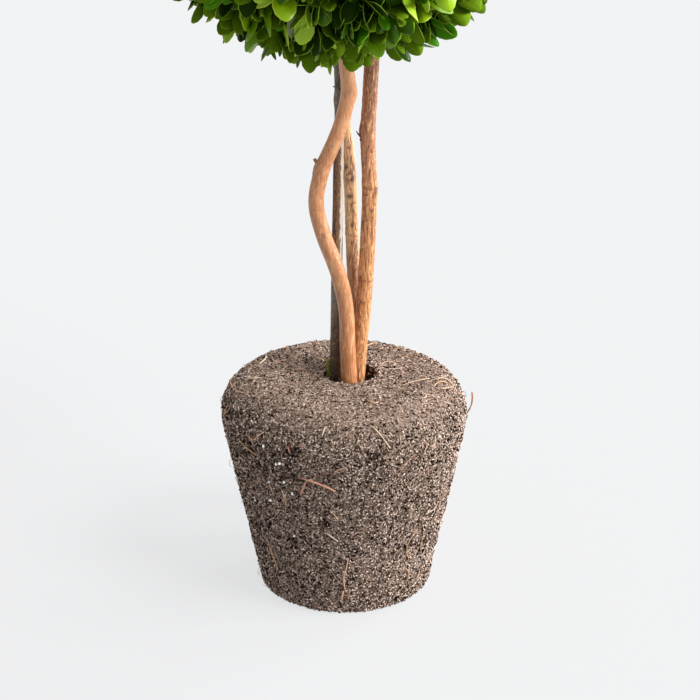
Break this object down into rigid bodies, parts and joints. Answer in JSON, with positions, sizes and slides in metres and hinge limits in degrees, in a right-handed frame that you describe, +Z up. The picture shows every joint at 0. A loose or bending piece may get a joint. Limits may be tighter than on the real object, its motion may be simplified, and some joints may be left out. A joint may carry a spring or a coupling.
{
  "type": "preserved ball topiary on four stems",
  "caption": "Clipped ball of small evergreen leaves on slender bare stems, one of them bowed, standing in a tapering moulded root ball.",
  "frame": {"origin": "middle of the root ball's flat underside, on the surface it stands on", "axes": "+Z up the stems, -Y towards the side that the bowed stem faces, +X to that side's right"},
  "size_m": [0.2301, 0.2273, 0.5584],
  "materials": {
    "root_ball": "matte moulded peat with loose fibres",
    "smooth_bark": "smooth tan bark, satin",
    "rough_bark": "rough red-brown bark, matte",
    "grey_bark": "dark grey-brown bark, matte",
    "foliage": "glossy green leaves"
  },
  "bodies": {
    "root": {"root_ball": "root_ball", "stem_bowed": "smooth_bark", "stem_right": "rough_bark", "stem_middle": "rough_bark", "stem_slender": "grey_bark", "crown": "foliage"}
  },
  "joints": []
}
